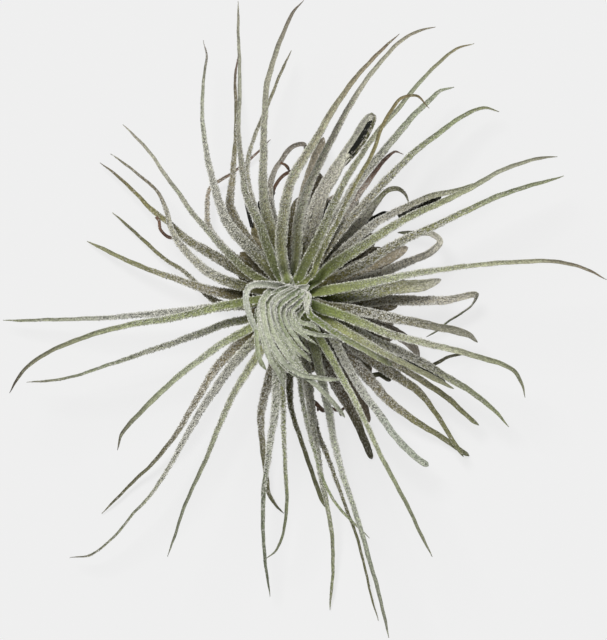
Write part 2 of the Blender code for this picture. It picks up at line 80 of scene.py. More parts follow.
def tissue_material(name, roughness, sheen, felt, felt_colour, relief, between_grain_shade=0.3):
    """Leaf tissue with fine long veins, soft blotches, and the felt of scales too small to be modelled.

    felt is how far the pale felt covers the tissue, relief how deep its grain is in millimetres, and
    between_grain_shade how dark the painted shade between the grains is where the leaf is silvery; the grains'
    middles are painted lighter.  Bare tissue shows this painted shade at less than half strength.  The grains
    lie in rows along the leaf; each is several real scales wide, so that it still shows.
    """
    material = bpy.data.materials.new(name)
    material.use_nodes = True
    tree = material.node_tree
    shader = tree.nodes["Principled BSDF"]
    shader.inputs["Roughness"].default_value = roughness
    shader.inputs["Sheen Weight"].default_value = sheen
    shader.inputs["Sheen Roughness"].default_value = 0.6
    shader.inputs["Specular IOR Level"].default_value = 0.25
    tissue = add(tree, "ShaderNodeAttribute", attribute_name="tissue")
    silver = add(tree, "ShaderNodeAttribute", attribute_name="silver")
    place = add(tree, "ShaderNodeAttribute", attribute_name="place")
    stretched = add(tree, "ShaderNodeVectorMath", {1: VEINS_PER_MM}, {0: place.outputs["Vector"]},
                    operation="MULTIPLY")
    veins = add(tree, "ShaderNodeTexNoise", {"Scale": 1.0, "Detail": 4.0, "Roughness": 0.6},
                {"Vector": stretched.outputs["Vector"]})
    vein_tone = add(tree, "ShaderNodeMapRange",
                    {"From Min": 0.3, "From Max": 0.7, "To Min": 0.72, "To Max": 1.18},
                    {"Value": veins.outputs["Fac"]})
    spot = add(tree, "ShaderNodeTexCoord")
    blotches = add(tree, "ShaderNodeTexNoise", {"Scale": 1 / (BLOTCH * MM), "Detail": 3.0},
                   {"Vector": spot.outputs["Object"]})
    blotch_tone = add(tree, "ShaderNodeMapRange",
                      {"From Min": 0.3, "From Max": 0.7, "To Min": 0.86, "To Max": 1.12},
                      {"Value": blotches.outputs["Fac"]})
    tone = add(tree, "ShaderNodeMath", {}, {0: vein_tone.outputs["Result"], 1: blotch_tone.outputs["Result"]},
               operation="MULTIPLY")
    veined = add(tree, "ShaderNodeVectorMath", {},
                 {0: tissue.outputs["Color"], "Scale": tone.outputs["Value"]},
                 operation="SCALE")
    rows = add(tree, "ShaderNodeVectorMath", {1: (1 / GRAIN_ACROSS, 1 / GRAIN_ALONG, 1.0)},
               {0: place.outputs["Vector"]}, operation="MULTIPLY")
    grains = add(tree, "ShaderNodeTexVoronoi", {"Scale": 1.0, "Randomness": 0.9},
                 {"Vector": rows.outputs["Vector"]})
    chance = add(tree, "ShaderNodeSeparateColor", {}, {"Color": grains.outputs["Color"]})
    cover = add(tree, "ShaderNodeMath", {1: felt}, {0: silver.outputs["Fac"]}, operation="MULTIPLY")
    margin = add(tree, "ShaderNodeMath", {}, {0: cover.outputs["Value"], 1: chance.outputs["Red"]},
                 operation="SUBTRACT")
    covered = add(tree, "ShaderNodeMapRange", {"From Min": -0.12, "From Max": 0.18, "To Max": 0.85},
                  {"Value": margin.outputs["Value"]})
    felted = add(tree, "ShaderNodeMix", {"B": (*linear(felt_colour), 1.0)},
                 {"Factor": covered.outputs["Result"], "A": veined.outputs["Vector"]}, data_type="RGBA")
    # Painted shade between the grains, darkest at their borders, with a painted lighter middle on each grain
    painted_grain_shade = add(tree, "ShaderNodeMapRange", {"From Min": 0.2, "From Max": 0.75, "To Min": 1.35, "To Max": between_grain_shade},
               {"Value": grains.outputs["Distance"]})
    grain_shade_strength = add(tree, "ShaderNodeMapRange",
                 {"From Min": 0.0, "From Max": 0.6, "To Min": 0.42, "To Max": 1.0},
                 {"Value": silver.outputs["Fac"]})
    grain_shaded = add(tree, "ShaderNodeMix", {"A": 1.0},
                 {"Factor": grain_shade_strength.outputs["Result"], "B": painted_grain_shade.outputs["Result"]}, data_type="FLOAT")
    grained = add(tree, "ShaderNodeVectorMath", {},
                  {0: felted.outputs["Result"], "Scale": grain_shaded.outputs["Result"]}, operation="SCALE")
    tree.links.new(grained.outputs["Vector"], shader.inputs["Base Color"])
    bump = add(tree, "ShaderNodeBump", {"Strength": 0.6, "Distance": relief * MM},
               {"Height": grains.outputs["Distance"]}, invert=True)
    tree.links.new(bump.outputs["Normal"], shader.inputs["Normal"])
    return material


SCALE_CELL = 0.15


def scale_material():
    """The scales that stand up from the tissue: dry, hollow, air-filled cells, so pale and nearly matt."""
    material = bpy.data.materials.new("silver_leaf_scales")
    material.use_nodes = True
    tree = material.node_tree
    shader = tree.nodes["Principled BSDF"]
    shader.inputs["Roughness"].default_value = 0.7
    shader.inputs["Specular IOR Level"].default_value = 0.35
    tissue = add(tree, "ShaderNodeAttribute", attribute_name="tissue")
    spot = add(tree, "ShaderNodeTexCoord")
    cells = add(tree, "ShaderNodeTexNoise", {"Scale": 1 / (SCALE_CELL * MM), "Detail": 1.0},
                {"Vector": spot.outputs["Object"]})
    tone = add(tree, "ShaderNodeMapRange", {"From Min": 0.3, "From Max": 0.7, "To Min": 0.88, "To Max": 1.1},
               {"Value": cells.outputs["Fac"]})
    toned = add(tree, "ShaderNodeVectorMath", {},
                {0: tissue.outputs["Color"], "Scale": tone.outputs["Result"]},
                operation="SCALE")
    tree.links.new(toned.outputs["Vector"], shader.inputs["Base Color"])
    return material


silver_scales = scale_material()

# ---------------------------------------------------------------------------------------------------------
# How a leaf is shaped.  Each leaf starts as a broad sheath that clasps the stem, bends outwards, and narrows
# to a channelled blade whose edges roll in towards the tip.  It is one closed skin with scales set into it.

# A leaf's CAD solid: its sections, their corners, and the stretch near the foot where it is made narrower
SECTIONS = 17
CORNERS = 6
WELD = 0.002
NARROWED_LENGTH = 13.0
NARROWED_BY = 0.3


def unit(vectors):
    return vectors / np.maximum(np.linalg.norm(vectors, axis=-1, keepdims=True), 1e-9)


def distances(points):
    steps = np.linalg.norm(np.diff(points, axis=0), axis=1)
    return np.concatenate(([0.0], np.cumsum(steps)))


def smooth_line(knots, points, where):
    """Smooth curve through points, one for each knot, read at the places given."""
    slopes = np.gradient(points, knots, axis=0)
    index = np.clip(np.searchsorted(knots, where, side="right") - 1, 0, len(knots) - 2)
    span = (knots[index + 1] - knots[index])[:, None]
    part = (where - knots[index])[:, None] / span
    start, end = points[index], points[index + 1]
    return ((2 * part**3 - 3 * part**2 + 1) * start + (part**3 - 2 * part**2 + part) * span * slopes[index]
            + (3 * part**2 - 2 * part**3) * end + (part**3 - part**2) * span * slopes[index + 1])


def smooth_step(value):
    value = np.clip(value, 0, 1)
    return value * value * (3 - 2 * value)


def cad_sections(node):
    """Middle, sideways direction and width of each section of a leaf's CAD solid, from foot to tip."""
    solid = bmesh.new()
    solid.from_mesh(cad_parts[node].data)
    bmesh.ops.remove_doubles(solid, verts=solid.verts, dist=WELD * MM)
    solid.verts.ensure_lookup_table()
    places = np.array([corner.co for corner in solid.verts]) / MM
    ring = {int(index) for index in np.argsort(np.hypot(places[:, 0], places[:, 1]))[:CORNERS]}
    seen, rings = set(ring), [sorted(ring)]
    for _ in range(SECTIONS - 1):
        ring = {edge.other_vert(solid.verts[index]).index for index in ring
                for edge in solid.verts[index].link_edges} - seen
        seen |= ring
        rings.append(sorted(ring))
    solid.free()
    corners = places[np.array(rings)]
    middles = corners.mean(axis=1)
    forward = unit(np.gradient(middles, axis=0))
    side = unit(np.array((-forward[0, 1], forward[0, 0], 0.0)))
    up = np.cross(forward[0], side)
    pairs = np.argsort(corners[0] @ side).reshape(3, 2)
    order = [index for pair in pairs for index in pair[np.argsort(corners[0][pair] @ up)]]
    matched = [corners[0][order]]
    orders = np.array(list(itertools.permutations(range(CORNERS))))
    for index in range(1, SECTIONS):
        turn = Vector(forward[index - 1]).rotation_difference(Vector(forward[index])).to_matrix()
        expected = (matched[-1] - middles[index - 1]) @ np.array(turn).T + middles[index]
        apart = np.linalg.norm(expected[:, None] - corners[index][None], axis=2)
        best = orders[apart[np.arange(CORNERS), orders].sum(axis=1).argmin()]
        matched.append(corners[index][best])
    matched = np.array(matched).reshape(SECTIONS, 3, 2, 3).mean(axis=2)
    across = matched[:, 2] - matched[:, 0]
    along = distances(matched[:, 1])
    narrowed = 1 - NARROWED_BY * np.clip(1 - along / NARROWED_LENGTH, 0, 1) ** 2
    return matched[:, 1], unit(across), np.linalg.norm(across, axis=1) / narrowed


def bark_radius(height):
    """Radius of the stem's bark at a height: it narrows towards the heart."""
    return np.interp(height, (0, 4, 12, 21), (4.9, 4.4, 3.2, 1.6))


# Knee and root of a sheath: how far below the foot, how low at most, how far off the bark, how much wider
SHEATH = ((0.5, 1.2, 1.0, 0.9), (4.5, 0.5, 0.1, 1.8))


def with_sheath(middle, side, width):
    """Prolong a leaf inwards and down the stem as a sheath that widens and clasps it."""
    outward = unit(middle[0] * (1, 1, 0))
    foot, foot_width = middle[0][2], width[0]
    for below, lowest, out, wider in SHEATH:
        height = max(foot - below, lowest)
        middle = np.vstack((outward * (bark_radius(height) + out) + (0, 0, height), middle))
        side = np.vstack((side[0], side))
        width = np.concatenate(([foot_width + wider], width))
    return middle, side, width


def wander(along, random, lengths=(23.0, 11.0, 5.0)):
    """A gentle seeded wandering with a height of about one, from a few waves of the lengths given."""
    waves = [math.sqrt(length / lengths[0]) * np.sin(2 * math.pi * (along / length + random.random()))
             for length in lengths]
    return np.sum(waves, axis=0) / 1.6


# A blade's skin: how finely it is drawn, the felt's share of its width at foot and tip, and its thinnest end
STEP = 0.5
AROUND = 16
FUZZ = 0.38
FUZZ_AT_TIP = 0.05
THINNEST = 0.14
# Share of the length by which a leaf has its own breadth, and over which a blade's edges roll in
OWN_BREADTH = 0.3
ROLLING = (0.4, 0.4)
ROLLED = 0.78
# Ends between these widths are broken or blunt, so they taper in a short way
BLUNT_FROM, BLUNT_TO = 1.0, 1.8
# Waving of a blade's width, of its line once it is clear of the others, and of its ridges
WIDTH_WAVE, WIDTH_LENGTHS = 0.05, (9.0, 4.0, 2.2)
LINE_WAVE, CLEAR_FROM, CLEAR_SPAN = 0.10, 10, 12
RIDGE_WAVE, RIDGE_LENGTHS, RIDGES = 0.8, (30.0, 14.0, 8.0), 7.5


def leaf_skin(middle, side, width, age, random, taper, breadth):
    """Points around the blade at each station, the length so far, places across, the width and the share."""
    knots = distances(middle)
    count = max(12, int(knots[-1] / STEP))
    where = np.linspace(0, knots[-1], count)
    share = where / knots[-1]
    line = smooth_line(knots, middle, where)
    forward = unit(np.gradient(line, axis=0))
    aside = np.column_stack([np.interp(where, knots, side[:, axis]) for axis in range(3)])
    aside = unit(aside - forward * np.sum(aside * forward, axis=1, keepdims=True))
    up = np.cross(forward, aside)
    left = np.maximum(knots[-1] - where, 0)
    slender = np.interp(share, np.linspace(0, 1, len(age["slender"])), age["slender"])
    slender = slender * (1 + (breadth - 1) * smooth_step(share / OWN_BREADTH))
    wide = np.interp(where, knots, width) * slender - FUZZ + (FUZZ - FUZZ_AT_TIP) * smooth_step(share)
    wide = wide * (1 + WIDTH_WAVE * wander(where, random, WIDTH_LENGTHS))
    if BLUNT_FROM < width[-1] < BLUNT_TO:
        taper = min(taper, 1.2 + 4 * max(0.0, 1.4 - width[-1]))
    wide = np.maximum(wide * np.sqrt(np.clip(left / taper, 0, 1)), THINNEST)
    clear = smooth_step((where - CLEAR_FROM) / CLEAR_SPAN)
    line = line + aside * (LINE_WAVE * clear * wander(where, random))[:, None]
    thick = np.clip(0.30 * wide, 0.30, 0.8) * np.clip(left / 3 + 0.35, 0, 1)
    start, span = ROLLING
    rolled = age["channel"] + (ROLLED - age["channel"]) * smooth_step((share - start) / span)
    rolled = rolled + 0.25 * smooth_step(1 - where / 8)
    turn = np.linspace(0, 2 * math.pi, AROUND, endpoint=False)
    across = np.cos(turn)
    rise = rolled[:, None] * np.abs(across)[None, :] ** 1.6 * wide[:, None] / 2
    drift = RIDGE_WAVE * wander(where, random, RIDGE_LENGTHS)
    ridges = age["ridge"] * wide[:, None] * np.cos(RIDGES * across[None, :] + drift[:, None])
    ridges = ridges * np.abs(np.sin(turn))[None, :]
    height = rise + 0.5 * thick[:, None] * np.sin(turn)[None, :] + ridges
    skin = (line[:, None, :] + aside[:, None, :] * (0.5 * wide[:, None] * across)[:, :, None]
            + up[:, None, :] * height[:, :, None])
    return skin, where, across, wide, share


def leaf_colours(share, colours):
    """The tissue's colour along a leaf, from evenly spaced hex colours between foot and tip."""
    stops = np.array([linear(code) for code in colours])
    places = np.linspace(0, 1, len(stops))
    return np.column_stack([np.interp(share, places, stops[:, band]) for band in range(3)])


# A blade's surface beyond its two broad sides, as an allowance on its width
EDGES = 0.6


def scale_places(where, wide, cover, count, random):
    """Where the scales sit on a skin: station and turn as fractions, thicker where cover is higher."""
    weight = cover * (wide + EDGES)
    total = np.concatenate(([0.0], np.cumsum(0.5 * (weight[1:] + weight[:-1]) * np.diff(where))))
    station = np.interp(random.random(count) * total[-1], total, np.arange(len(where)))
    return station, random.random(count) * AROUND


def on_skin(skin, station, turn):
    """Points and outward directions on a skin, with the directions towards the tip."""
    low = np.clip(station.astype(int), 0, len(skin) - 2)
    part = (station - low)[:, None]
    near = turn.astype(int) % AROUND
    after = (near + 1) % AROUND
    share = (turn - turn.astype(int))[:, None]
    first = skin[low, near] * (1 - share) + skin[low, after] * share
    second = skin[low + 1, near] * (1 - share) + skin[low + 1, after] * share
    forward = unit(second - first)
    around = skin[low, after] - skin[low, near]
    outward = unit(np.cross(around, forward))
    return first * (1 - part) + second * part, outward, forward


def leaf_object(name, parts, material):
    """One mesh object from skins and scales: points, faces, tissue colours, silver, places and map."""
    points, faces, kinds, tissue, silver, place, maps = [], [], [], [], [], [], []
    start = 0
    for part in parts:
        points.append(part["points"])
        faces.extend((face + start).tolist() for face in part["faces"])
        kinds.extend([part["kind"]] * sum(len(face) for face in part["faces"]))
        tissue.append(part["tissue"])
        silver.append(part["silver"])
        place.append(part["place"])
        maps.append(part["map"])
        start += len(part["points"])
    points = np.vstack(points)
    flat = [face for group in faces for face in group]
    mesh = bpy.data.meshes.new(name)
    mesh.from_pydata((points * MM).tolist(), [], flat)
    mesh.materials.append(material)
    mesh.materials.append(silver_scales)
    kinds = np.array(kinds, np.int32)
    mesh.polygons.foreach_set("material_index", kinds)
    mesh.polygons.foreach_set("use_smooth", kinds == 0)
    colour = mesh.attributes.new("tissue", "FLOAT_COLOR", "POINT")
    tissue = np.clip(np.vstack(tissue), 0, 1)
    colour.data.foreach_set("color", np.column_stack((tissue, np.ones(len(tissue)))).ravel())
    mesh.attributes.new("silver", "FLOAT", "POINT").data.foreach_set("value", np.concatenate(silver))
    mesh.attributes.new("place", "FLOAT_VECTOR", "POINT").data.foreach_set("vector", np.vstack(place).ravel())
    corners = np.empty(len(mesh.loops), np.int32)
    mesh.loops.foreach_get("vertex_index", corners)
    layer = mesh.uv_layers.new(name="OFBake")
    layer.data.foreach_set("uv", np.vstack(maps)[corners].ravel())
    mesh.update()
    item = bpy.data.objects.new(name, mesh)
    bpy.context.scene.collection.objects.link(item)
    return item


def skin_part(skin, where, across, tissue, silver, seed, strip):
    """The closed skin of one blade, with its colours.  strip is its share of the map: left, right."""
    stations = len(skin)
    points = np.vstack((skin.reshape(-1, 3), skin[0].mean(axis=0), skin[-1].mean(axis=0)))
    grid = np.arange(stations * AROUND).reshape(stations, AROUND)
    quads = np.stack((grid[:-1], np.roll(grid[:-1], -1, 1), np.roll(grid[1:], -1, 1), grid[1:]), axis=2)
    foot, tip = stations * AROUND, stations * AROUND + 1
    turn = np.arange(AROUND)
    foot_cap = np.column_stack((np.full(AROUND, foot), grid[0][(turn + 1) % AROUND], grid[0]))
    tip_cap = np.column_stack((np.full(AROUND, tip), grid[-1], grid[-1][(turn + 1) % AROUND]))
    half = 0.5 * np.linalg.norm(skin[:, 0] - skin[:, AROUND // 2], axis=1)
    place = np.stack((half[:, None] * across[None, :], np.broadcast_to(where[:, None], (stations, AROUND)),
                      np.full((stations, AROUND), seed)), axis=2).reshape(-1, 3)
    upward = (np.arange(AROUND) + 0.5) / (AROUND + 1)
    left, right = strip
    column = left + (right - left) * np.broadcast_to(upward[None, :], (stations, AROUND))
    row = np.broadcast_to((where / where[-1])[:, None], (stations, AROUND)) * 0.98 + 0.01
    maps = np.stack((column, row), axis=2).reshape(-1, 2)
    ends = [0, -1]
    return {"points": points, "faces": [quads.reshape(-1, 4), foot_cap, tip_cap], "kind": 0,
            "tissue": np.vstack((tissue.reshape(-1, 3), tissue[ends, 0])),
            "silver": np.concatenate((silver.ravel(), silver[ends, 0])),
            "place": np.vstack((place, place[ends])), "map": np.vstack((maps, maps[ends]))}


SUNK = 0.06


def scales_part(skin, station, turn, sizes, tissue, random, strip):
    """Small three-sided scales set into the skin, leaning towards the tip."""
    points, outward, forward = on_skin(skin, station, turn)
    sideways = np.cross(outward, forward)
    count = len(points)
    spin = random.random(count) * 2 * math.pi
    corners = []
    for corner in range(3):
        angle = spin + corner * 2 * math.pi / 3
        reach = 0.5 * sizes * (0.8 + 0.4 * random.random(count))
        corners.append(points - outward * SUNK + forward * (reach * np.cos(angle))[:, None]
                       + sideways * (reach * np.sin(angle))[:, None])
    tall = sizes * (0.4 + 0.6 * random.random(count))
    lean = sizes * (random.random(count) * 0.6)
    corners.append(points + outward * tall[:, None] + forward * lean[:, None])
    made = np.stack(corners, axis=1).reshape(-1, 3)
    first = 4 * np.arange(count)[:, None]
    faces = [first + np.array(trio) for trio in ((0, 1, 3), (1, 2, 3), (2, 0, 3))]
    left, right = strip
    side = max(1, math.ceil(math.sqrt(count)))
    cell = (right - left) / side
    column, row = np.arange(count) % side, np.arange(count) // side
    spots = np.array(((0.1, 0.1), (0.9, 0.1), (0.5, 0.9), (0.5, 0.4)))
    maps = np.stack((left + cell * (column[:, None] + spots[None, :, 0]),
                     (row[:, None] + spots[None, :, 1]) / side), axis=2).reshape(-1, 2)
    return {"points": made, "faces": faces, "kind": 1, "tissue": np.repeat(tissue, 4, axis=0),
            "silver": np.ones(4 * count), "place": np.zeros((4 * count, 3)), "map": maps}


SILVER = linear("#e9e8e2")
SCALES_PER_MM2 = 9.0
LEAST_COVER = 0.11
FRINGE_PER_MM = 2.2
FRINGE_SIZE = 0.42
# White margins: how fast they fade inwards, and the share of the length where they end
MARGIN_FALL, MARGIN_TO, MARGIN_SPAN = 6, 0.8, 0.5
UNDERSIDE = 0.92
# How far from its tip a blade starts to narrow
TIP_TAPER = 5.0
# In millimetres from the foot, where the painted shade there begins to lift and how long it takes
LIFT_FROM, LIFT_SPAN = 7, 26
# The same, as shares of the length, for the outer end's tint and for the felt as it thins out
ENDING_FROM, ENDING_SPAN = 0.45, 0.3
THINNING_FROM, THINNING_SPAN = 0.45, 0.35


def leaf_parts(middle, side, width, look, age, random, seed, taper=TIP_TAPER, breadth=1.0):
    """A blade's skin and scales, coloured for its look: colours from foot to tip, and how silvery it is."""
    colours, silvery = look[:-1], look[-1]
    skin, where, across, wide, share = leaf_skin(middle, side, width, age, random, taper, breadth)

    # Painted shade: the age's foot tint darkens the tissue near the foot, where the other leaves shade it, and
    # lifts from LIFT_FROM over LIFT_SPAN; the outer end takes the age's ending tint.
    foot, ending = np.array(age["foot"]), np.array(age["ending"])
    painted_foot_shade_and_end_tint = foot + (1 - foot) * smooth_step((where - LIFT_FROM) / LIFT_SPAN)[:, None]
    painted_foot_shade_and_end_tint = painted_foot_shade_and_end_tint * (1 + (ending - 1) * smooth_step((share - ENDING_FROM) / ENDING_SPAN)[:, None])
    tissue = leaf_colours(share, colours) * age["cast"] * painted_foot_shade_and_end_tint
    tissue = tissue + age["dull"] * (tissue.mean(axis=1, keepdims=True) - tissue)
    margin = np.abs(across)[None, :] ** age.get("margin_fall", MARGIN_FALL) * age["margin"]
    margin = margin * smooth_step((MARGIN_TO - share) / MARGIN_SPAN)[:, None]
    under = np.sin(np.linspace(0, 2 * math.pi, AROUND, endpoint=False)) < -0.2
    skin_tissue = tissue[:, None, :] * np.where(under, UNDERSIDE, 1.0)[None, :, None]
    skin_tissue = skin_tissue * (1 - margin[:, :, None]) + SILVER * margin[:, :, None]

    bare, felting = age["bare"]
    felted = smooth_step((where - bare) / felting)
    thinned = 1 - age["smooth_end"] * smooth_step((share - THINNING_FROM) / THINNING_SPAN)
    cover = silvery * (felted * thinned)
    silver = np.clip(cover[:, None] + 0.5 * margin, 0, 1)
    area = np.sum((wide + EDGES) * np.gradient(where)) * 2
    count = int(area * SCALES_PER_MM2 * age["scales"] * (0.25 + 0.75 * silvery))
    station, turn = scale_places(where, wide, LEAST_COVER + cover, count, random)
    smaller = 1 - 0.55 * smooth_step((share - 0.4) / 0.4)
    sizes = age["grain"] * (0.7 + 0.6 * random.random(count))
    sizes = sizes * np.interp(station, np.arange(len(where)), smaller)

    fringed = age["fringed"]
    fringe = int(where[-1] * 2 * FRINGE_PER_MM * age["fringe"] * fringed)
    fringe_station = random.random(fringe) ** 1.2 * fringed * (len(where) - 1.01)
    fringe_turn = (random.integers(0, 2, fringe) * AROUND / 2 + 0.8 * (random.random(fringe) - 0.5)) % AROUND
    station, turn = np.concatenate((station, fringe_station)), np.concatenate((turn, fringe_turn))
    fringe_share = share[fringe_station.astype(int)] / fringed
    fringe_sizes = FRINGE_SIZE * (0.7 + 0.6 * random.random(fringe)) * (1 - 0.5 * fringe_share ** 3)
    sizes = np.concatenate((sizes, fringe_sizes))

    low = station.astype(int)
    pale = age["pale"] * (0.36 + 0.64 * felted[low]) * (1 - 0.5 * smooth_step((share[low] - 0.5) / 0.4))
    pale[count:] = age["fringe_pale"]
    pale = np.clip(pale + 0.35 * (random.random(len(low)) - 0.5), 0.05, 0.95)[:, None]
    tone = (0.75 + 0.4 * random.random(len(low)))[:, None]
    scale_tissue = (tissue[low] * (1 - pale) + SILVER * pale) * tone
    return [skin_part(skin, where, across, skin_tissue, silver, seed, (0.0, 0.5)),
            scales_part(skin, station, turn, sizes, scale_tissue, random, (0.5, 1.0))]


# How far from a leaf's fold it starts to narrow
FOLD_TAPER = 4.0


def make_leaf(node, look, age, material, seed, breadth, folded=False):
    """One leaf along its CAD solid.  breadth is how broad its outer part is beside others of its age.

    A folded leaf ends where it turns back; the part beyond the fold is a piece of its own.
    """
    random = np.random.default_rng(seed)
    middle, side, width = cad_sections(node)
    if folded:
        kept = int(np.hypot(middle[:, 0], middle[:, 1]).argmax()) + 1
        middle, side, width = middle[:kept], side[:kept], width[:kept]
    taper = FOLD_TAPER if folded else TIP_TAPER
    parts = leaf_parts(*with_sheath(middle, side, width), look, age, random, seed, taper, breadth)
    item = leaf_object(node + "_blade", parts, material)
    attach(item, "root")
    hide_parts(node)


# ---------------------------------------------------------------------------------------------------------
# Outer leaves: the oldest, dead or dying back from their tips.  Dry tissue has turned taupe and brown and
# wrinkled lengthwise, and its scales show as a coarse grey grain.

# What leaves of one age share.  channel, ridge: depth of the channel and of the wrinkles, beside the width.
# slender: width beside the CAD solid's, from foot to tip.  cast, ending: tints of the whole leaf and of its
# outer end.  foot: painted shade at the foot, a darker and warmer tint where the other leaves shade it.  dull:
# how far its colours are greyed.  margin: how white its edges are.  bare: where its felt begins, and over how
# many millimetres it closes.  smooth_end: how much of the felt is gone at the tip.  scales, grain, pale: how
# many scales, how large and how pale.  fringed: share of the length with a fringe.  fringe, fringe_pale: how
# many scales the fringe has and how pale.
OUTER = {"slot": "outer_leaf", "channel": 0.30, "ridge": 0.035,
         "slender": (1.06, 0.94, 0.88, 0.86, 0.92, 1.05), "cast": (1.5, 1.48, 1.36),
         "foot": (0.42, 0.43, 0.18), "ending": (1.06, 1.07, 1.12), "dull": 0.1, "margin": 0.2,
         "bare": (8, 12), "smooth_end": 0.7, "scales": 0.85, "grain": 0.46, "pale": 0.76,
         "fringed": 0.7, "fringe": 0.8, "fringe_pale": 0.7}
dry_tissue = tissue_material("dry_leaf_tissue", roughness=0.9, sheen=0.15, felt=0.75, felt_colour="#bdb8b0",
                             relief=0.12, between_grain_shade=0.38)

# Colours from foot to tip, and how silvery each leaf is
OUTER_LOOKS = (
    ("#6b6648", "#8a8270", "#8f8774", "#7c6a5c", "#5d4a40", 0.6),
    ("#6b6248", "#7d7664", "#6c6a50", "#5f5e42", "#6b6a50", 0.25),
    ("#4e4a34", "#6e6350", "#766a58", "#6a5f50", 0.5),
    ("#55502f", "#7c705a", "#857a68", "#8e8678", 0.6),
    ("#4e4a30", "#5c5a40", "#5a5a3c", "#53533a", "#5c5e42", 0.2),
    ("#5a5340", "#867c6c", "#787260", "#5c5a42", "#5c5a44", 0.4),
    ("#5a5638", "#857c6a", "#8a8272", "#6b6456", 0.6),
    ("#4a4634", "#6c6152", "#64594a", "#4e4a36", "#44422c", 0.45),
    ("#6a6048", "#7e7464", "#77745c", "#70704f", "#76765a", 0.35),
    ("#5a5438", "#948e82", "#a29c94", "#8e8278", "#7a6256", "#6a5248", 0.8),
    ("#5c5640", "#81796a", "#77725c", "#5f5e42", "#4e4e34", 0.45),
    ("#5e5a3c", "#7f7866", "#767058", "#62604a", "#5c4a44", 0.35),
    ("#5c5434", "#857a62", "#948c78", "#a8a294", "#9c988a", "#585c40", "#545a3c", 0.7),
    ("#54503a", "#776e5c", "#7a725c", "#72704e", "#686a4a", 0.5),
    ("#5e5a3c", "#76725e", "#6e6c50", "#6e6a44", "#5e5648", 0.35),
    ("#5e5c3a", "#938f7c", "#a8a49a", "#a8a69a", "#a4a496", "#96968a", 0.9),
    ("#5a5034", "#857a64", "#9c9484", "#aca69c", "#a8a499", "#98968a", "#5a6040", 0.8),
    ("#5c5840", "#77725c", "#6c6a4c", "#5e5e40", "#5a5a40", 0.3),
    ("#5a5836", "#98948a", "#b4b2ac", "#aeaca4", "#686a48", "#8a8878", 1.0),
    ("#4a4436", "#6a6256", "#766e64", "#6c665c", 0.5),
    ("#56523a", "#7a725c", "#7c765e", "#74724e", "#66684a", 0.45),
    ("#5e5e42", "#8c8c7a", "#949884", "#7a7e62", "#686c4c", 0.75),
    ("#5c5a3c", "#837c64", "#85806a", "#7c7a5a", "#707250", 0.5),
)

FOLDED_LEAF = 16
# Leaves that are broader or narrower than others of their age, beyond their feet
OUTER_BREADTH = {1: 0.86, 6: 1.08, 11: 1.12, 13: 0.85, 14: 0.8, 17: 0.84, 18: 0.88, 21: 0.84, 23: 0.84}

for index, look in enumerate(OUTER_LOOKS):
    breadth = OUTER_BREADTH.get(index + 1, 1.0)
    folded = index + 1 == FOLDED_LEAF
    make_leaf(f"outer_leaf_{index + 1:02d}", look, OUTER, dry_tissue, 100 + index, breadth, folded)

# ---------------------------------------------------------------------------------------------------------
# Middle leaves: grown and living.  Grey-green tissue under a coarse silver grain from the foot to about half
# their length; beyond it the blade rolls in and is smoother and greener.

MIDDLE = {"slot": "middle_leaf", "channel": 0.34, "ridge": 0.018,
          "slender": (0.95, 0.86, 0.83, 0.88, 0.98, 1.12), "cast": (1.32, 1.34, 1.25),
          "foot": (0.51, 0.52, 0.21), "ending": (1.16, 1.17, 1.27), "dull": 0.1, "margin": 0.3,
          "bare": (8, 14), "smooth_end": 0.7, "scales": 0.9, "grain": 0.47, "pale": 0.8,
          "fringed": 0.7, "fringe": 1.0, "fringe_pale": 0.8}
grey_tissue = tissue_material("grey_green_leaf_tissue", roughness=0.85, sheen=0.2, felt=0.8,
                              felt_colour="#c3c1b8",
                              relief=0.12)

MIDDLE_LOOKS = (
    ("#5e6038", "#8f8c72", "#a09c88", "#94907c", "#6e6450", "#74705a", 0.8),
    ("#5a5a36", "#7e7866", "#8c8478", "#8a8276", "#6e6458", 0.7),
    ("#5c5c36", "#857e68", "#958e7c", "#8e8c74", "#8a8c6c", 0.75),
    ("#5a5e3c", "#7e8270", "#7e826c", "#686e54", "#5a5e46", 0.65),
    ("#66683e", "#94948a", "#9c9c94", "#8a8a76", "#747658", 0.7),
    ("#5e6a2e", "#7a7e48", "#8c8a64", "#a09c8c", 0.6),
    ("#5c5e38", "#8e8e7c", "#a4a69a", "#a6aa9a", "#9a9e8a", 1.0),
    ("#5e5a3c", "#7e786a", "#86826e", "#7e7a62", "#6c6650", 0.45),
    ("#5c5836", "#8a8068", "#8e8668", "#8a8c68", "#868c68", "#7a7858", 0.65),
    ("#6a6e40", "#9c9e8a", "#9ea084", "#868a6e", "#645e4a", 0.65),
    ("#5c5630", "#7c7450", "#7c7852", "#848660", "#808464", "#7a7c5c", 0.5),
    ("#565234", "#6e6850", "#76705a", "#7e7a66", "#8a8674", 0.55),
    ("#606036", "#8e8a78", "#9c998c", "#969a80", "#8a8e74", 0.9),
    ("#5e6038", "#96948a", "#a6a49a", "#9c9c8c", "#8c8e76", "#5c4e4a", 0.95),
    ("#5e6034", "#7c7e52", "#787c54", "#6e7252", "#62644c", 0.4),
    ("#6a6a44", "#b4b2aa", "#b8b6b0", "#96967e", "#727458", "#625c4a", 1.0),
    ("#5a5c34", "#88866a", "#94907c", "#86886a", "#80845e", 0.65),
    ("#606838", "#868c60", "#8c9270", "#868c66", "#7a7e5c", 0.5),
)

MIDDLE_BREADTH = {7: 0.84, 8: 1.18, 9: 0.92, 10: 0.8, 12: 0.84, 16: 0.86}

for index, look in enumerate(MIDDLE_LOOKS):
    breadth = MIDDLE_BREADTH.get(index + 1, 1.0)
    make_leaf(f"middle_leaf_{index + 1:02d}", look, MIDDLE, grey_tissue, 200 + index, breadth)

# ---------------------------------------------------------------------------------------------------------
# Inner leaves: the youngest full-grown ones, highest in the rosette.  Green tissue shows through a finer,
# more even grain, and the felt stands up as a white line along the edges near the heart.

